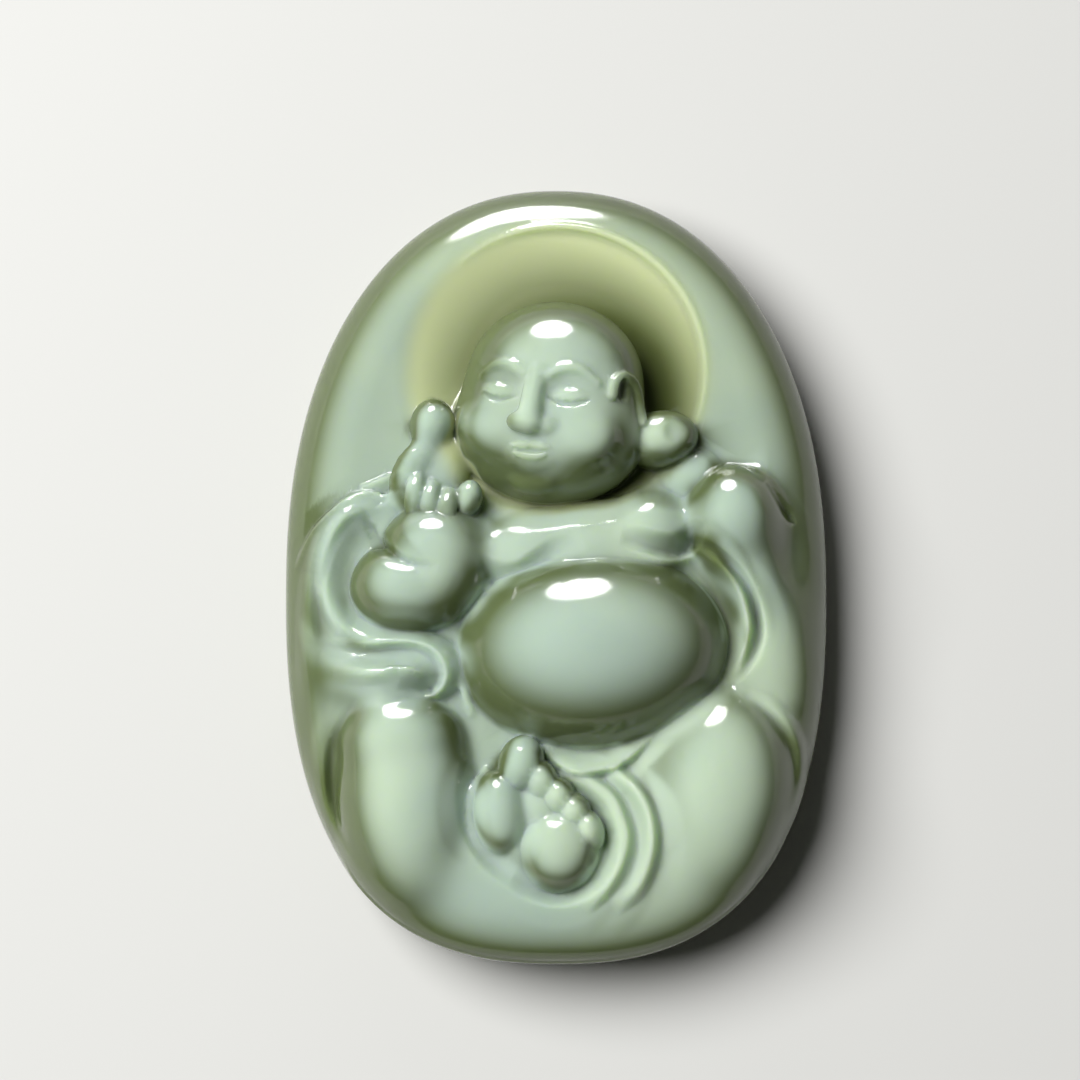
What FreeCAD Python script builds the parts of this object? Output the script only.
"""Oval nephrite plaque, carved in high relief with a seated, round-bellied figure.

The real thing is one stone. Each node is one carved element of it, cut face to face with the elements
beside it, so that together they fill the stone once and nothing in it is fastened or moves.

Frame: the plaque lies on its flat back. +Z comes out of the carved face, +Y runs to the figure's head and
+X to the figure's left. The origin is on the back face, at the centre of the footprint. Millimetres.
"Left" and "right" in a name are the figure's own.
"""
import FreeCAD
import Part
import math
import os

V = FreeCAD.Vector

# The stone
HEIGHT = 58.0
WIDTH = 40.4
RIM_TOP = 9.2
FRONT_ROUND = 4.4
BACK_ROUND = 3.2
WIDEST_Y = -0.6
UPPER_SQUARENESS = 2.2
LOWER_SQUARENESS = 2.55
OUTLINE_POINTS = 20

# The round niche behind the head, and the fine bead along its edge
NICHE_CENTRE = (0.1, 14.3)
NICHE_RADIUS = 10.9
NICHE_FLOOR = 6.0
NICHE_DRAFT = 1.4
BEAD_THICKNESS = 0.32
BEAD_FROM, BEAD_TO = -12.0, 105.0

# Nothing of the figure reaches below this level, which is inside the stone everywhere
FIGURE_BASE = 3.6

# The rounded masses of the figure: centre, half extents along its own axes, and turn about +Z in degrees
HEAD = ((-0.2, 12.1, 8.4), (7.2, 7.6, 6.2), 0.0)
BELLY = ((2.5, -6.2, 8.0), (9.8, 7.4, 7.5), 4.0)
CHEST = ((2.4, 3.1, 8.2), (9.6, 4.6, 3.7), 12.0)
RIGHT_FOREARM = ((-8.9, 1.0, 9.0), (4.0, 4.5, 4.6), 14.0)
RIGHT_UPPER_ARM = ((-10.4, -1.4, 8.6), (4.9, 3.5, 4.0), 12.0)
RIGHT_PALM = ((-9.0, 6.2, 9.0), (3.0, 2.2, 2.6), -20.0)
LEFT_SLEEVE = ((14.8, -0.5, 7.6), (3.9, 9.2, 4.4), 8.0)
RIGHT_KNEE = ((-10.7, -16.5, 7.4), (5.3, 7.7, 5.4), 6.0)
LEFT_KNEE = ((11.9, -16.1, 7.4), (5.8, 7.5, 5.4), -9.0)
LAP = ((0.2, -22.4, 7.2), (12.6, 4.6, 3.4), 0.0)
LEFT_EAR_SHELL = ((5.7, 12.5, 11.3), (0.9, 2.1, 1.5), 12.0)
LEFT_EAR_LOBE = ((7.9, 9.4, 9.2), (2.1, 2.1, 2.1))
RIGHT_EAR_LOBE = ((-9.2, 10.6, 8.8), (1.9, 1.9, 1.9))
THUMB = ((-6.7, 5.1, 11.2), (1.15, 1.2, 1.3), 0.0)
SOLE_PAD = ((-4.0, -18.2, 10.2), (2.0, 3.0, 2.5), 10.0)
BIG_TOE = ((-2.8, -14.6, 10.6), (1.4, 2.3, 2.0), 6.0)
HEEL = ((0.2, -20.8, 9.8), (2.9, 2.8, 3.0), 0.0)

# The raised index finger: the centres of its two ends, and its radius
INDEX_FINGER = ((-11.6, 6.5, 10.3), (-9.9, 9.2, 10.1), 0.8)

# Rows of fingers and toes: first and last centre in the row, how many, and half extents
CURLED_FINGERS = ((-10.7, 5.9, 11.3), (-8.3, 5.3, 11.8), 3, (0.64, 1.25, 1.0))
SMALL_TOES = ((-1.1, -15.9, 10.8), (2.3, -19.4, 10.6), 4, (1.0, 1.45, 1.5))

# Folds of cloth, each a cord of stone along an arc: centre, radius, thickness, height, first and last angle
SLEEVE_FOLD_OUTER = ((-9.7, -3.1), 8.3, 1.0, 8.7, 110.0, 180.0)
SLEEVE_FOLD_INNER = ((-10.4, -1.5), 5.8, 0.9, 9.2, 150.0, 252.0)
SLEEVE_CURL = ((-9.9, -7.8), 2.6, 1.0, 9.5, -105.0, 98.0)
ROBE_EDGE = ((4.9, -4.8), 9.5, 0.8, 9.3, -34.0, 34.0)
WAIST_FOLD = ((2.8, -6.1), 8.9, 0.8, 9.3, 242.0, 298.0)
HEM_FOLD_INNER = ((-0.8, -19.6), 5.6, 0.6, 9.6, -52.0, 40.0)
HEM_FOLD_OUTER = ((-0.6, -19.6), 7.1, 0.6, 9.5, -50.0, 34.0)


def superellipse(angle, half_width, half_height, squareness):
    """A point at this angle of the curve |x/a|^n + |y/b|^n = 1."""
    c, s = math.cos(angle), math.sin(angle)
    return V(math.copysign(half_width * abs(c) ** (2 / squareness), c),
             math.copysign(half_height * abs(s) ** (2 / squareness), s), 0)


def outline():
    """The plaque's outline: fuller below its widest level than above it."""
    above = HEIGHT / 2 - WIDEST_Y
    below = HEIGHT / 2 + WIDEST_Y
    points = []
    for i in range(2 * OUTLINE_POINTS):
        angle = math.pi * i / OUTLINE_POINTS
        upper = i <= OUTLINE_POINTS
        half_height = above if upper else below
        squareness = UPPER_SQUARENESS if upper else LOWER_SQUARENESS
        points.append(superellipse(angle, WIDTH / 2, half_height, squareness) + V(0, WIDEST_Y, 0))
    curve = Part.BSplineCurve()
    curve.interpolate(Points=points, PeriodicFlag=True)
    return Part.Face(Part.Wire(curve.toShape()))


def edges_at(solid, z):
    """The edges of a solid that lie wholly at one height."""
    return [e for e in solid.Edges
            if abs(e.BoundBox.ZMin - z) < 1e-4 and abs(e.BoundBox.ZMax - z) < 1e-4]


def slab():
    """The oval stone with rounded edges, a flat back and the niche sunk into its face."""
    stone = outline().extrude(V(0, 0, RIM_TOP))
    stone = stone.makeFillet(FRONT_ROUND, edges_at(stone, RIM_TOP))
    stone = stone.makeFillet(BACK_ROUND, edges_at(stone, 0.0))
    niche = Part.makeCone(NICHE_RADIUS - NICHE_DRAFT, NICHE_RADIUS, RIM_TOP - NICHE_FLOOR,
                          V(*NICHE_CENTRE, NICHE_FLOOR), V(0, 0, 1))
    return stone.cut(niche)


def above_base(shape):
    """The part of a shape above the level that the figure is carved down to."""
    block = Part.makeBox(2 * WIDTH, 2 * HEIGHT, HEIGHT, V(-WIDTH, -HEIGHT, FIGURE_BASE))
    return shape.common(block)


def ellipsoid(centre, half, turn=0.0):
    """A ball stretched to half extents along X, Y and Z, turned about +Z, then moved to its centre."""
    if len(set(half)) == 1:
        return above_base(Part.makeSphere(half[0], V(*centre)))
    stretch = FreeCAD.Matrix()
    stretch.scale(V(*half))
    ball = Part.makeSphere(1.0).transformGeometry(stretch)
    ball.rotate(V(0, 0, 0), V(0, 0, 1), turn)
    ball.translate(V(*centre))
    return above_base(ball)


def finger(start, end, radius):
    """A straight finger with round ends."""
    start, end = V(*start), V(*end)
    rod = Part.makeCylinder(radius, start.distanceToPoint(end), start, end - start)
    return rod.fuse([Part.makeSphere(radius, tip) for tip in (start, end)])


def ridge(centre, radius, thickness, height, first, last):
    """A cord of stone along a level arc, round in section and square at its ends."""
    middle = V(*centre, height)
    ring = Part.makeTorus(radius, thickness, middle, V(0, 0, 1), -180, 180, last - first)
    ring.rotate(middle, V(0, 0, 1), first)
    return ring


def row_of(first, last, count, half):
    """Like ellipsoids, evenly spaced from one centre to another."""
    start, step = V(*first), (V(*last) - V(*first)) / (count - 1)
    return [ellipsoid(start + step * i, half) for i in range(count)]


def figure():
    """The carved elements, foremost first: each is later cut by the stone and by those before it."""
    return [
        ("belly", [ellipsoid(*BELLY)]),
        ("head", [ellipsoid(*HEAD)]),
        ("left_ear", [ellipsoid(*LEFT_EAR_SHELL), ellipsoid(*LEFT_EAR_LOBE)]),
        ("right_ear", [ellipsoid(*RIGHT_EAR_LOBE)]),
        ("right_fingers", row_of(*CURLED_FINGERS) + [finger(*INDEX_FINGER)]),
        ("right_thumb", [ellipsoid(*THUMB)]),
        ("right_forearm", [ellipsoid(*RIGHT_FOREARM)]),
        ("right_palm", [ellipsoid(*RIGHT_PALM)]),
        ("right_upper_arm", [ellipsoid(*RIGHT_UPPER_ARM)]),
        ("left_sleeve", [ellipsoid(*LEFT_SLEEVE)]),
        ("chest", [ellipsoid(*CHEST)]),
        ("toes", [ellipsoid(*BIG_TOE)] + row_of(*SMALL_TOES)),
        ("foot_sole", [ellipsoid(*SOLE_PAD).fuse(ellipsoid(*HEEL))]),
        ("right_sleeve_curl", [ridge(*SLEEVE_CURL)]),
        ("right_sleeve_fold_inner", [ridge(*SLEEVE_FOLD_INNER)]),
        ("right_sleeve_fold_outer", [ridge(*SLEEVE_FOLD_OUTER)]),
        ("robe_edge", [ridge(*ROBE_EDGE)]),
        ("right_knee", [ellipsoid(*RIGHT_KNEE)]),
        ("left_knee", [ellipsoid(*LEFT_KNEE)]),
        ("waist_fold", [ridge(*WAIST_FOLD)]),
        ("hem_fold_inner", [ridge(*HEM_FOLD_INNER)]),
        ("hem_fold_outer", [ridge(*HEM_FOLD_OUTER)]),
        ("lap", [ellipsoid(*LAP)]),
        ("niche_bead", [ridge(NICHE_CENTRE, NICHE_RADIUS, BEAD_THICKNESS, RIM_TOP, BEAD_FROM, BEAD_TO)]),
    ]


def carve(shape, placed):
    """The largest solid left of a shape once every placed solid that it meets is cut away."""
    for other in placed:
        if shape.BoundBox.intersect(other.BoundBox):
            shape = shape.cut(other)
    return max(shape.Solids, key=lambda solid: solid.Volume)


def main():
    os.makedirs("parts", exist_ok=True)
    placed = [slab()]
    nodes = {"stone_slab": placed[:]}
    for name, shapes in figure():
        nodes[name] = []
        for shape in shapes:
            solid = carve(shape, placed)
            nodes[name].append(solid)
            placed.append(solid)
    for name, solids in nodes.items():
        Part.makeCompound(solids).exportStep("parts/%s.step" % name)
        volume = sum(solid.Volume for solid in solids)
        sound = all(solid.isValid() for solid in solids)
        print("%-24s %d solid(s) %9.2f mm3 %s" % (name, len(solids), volume, "sound" if sound else "FAULTY"))


main()
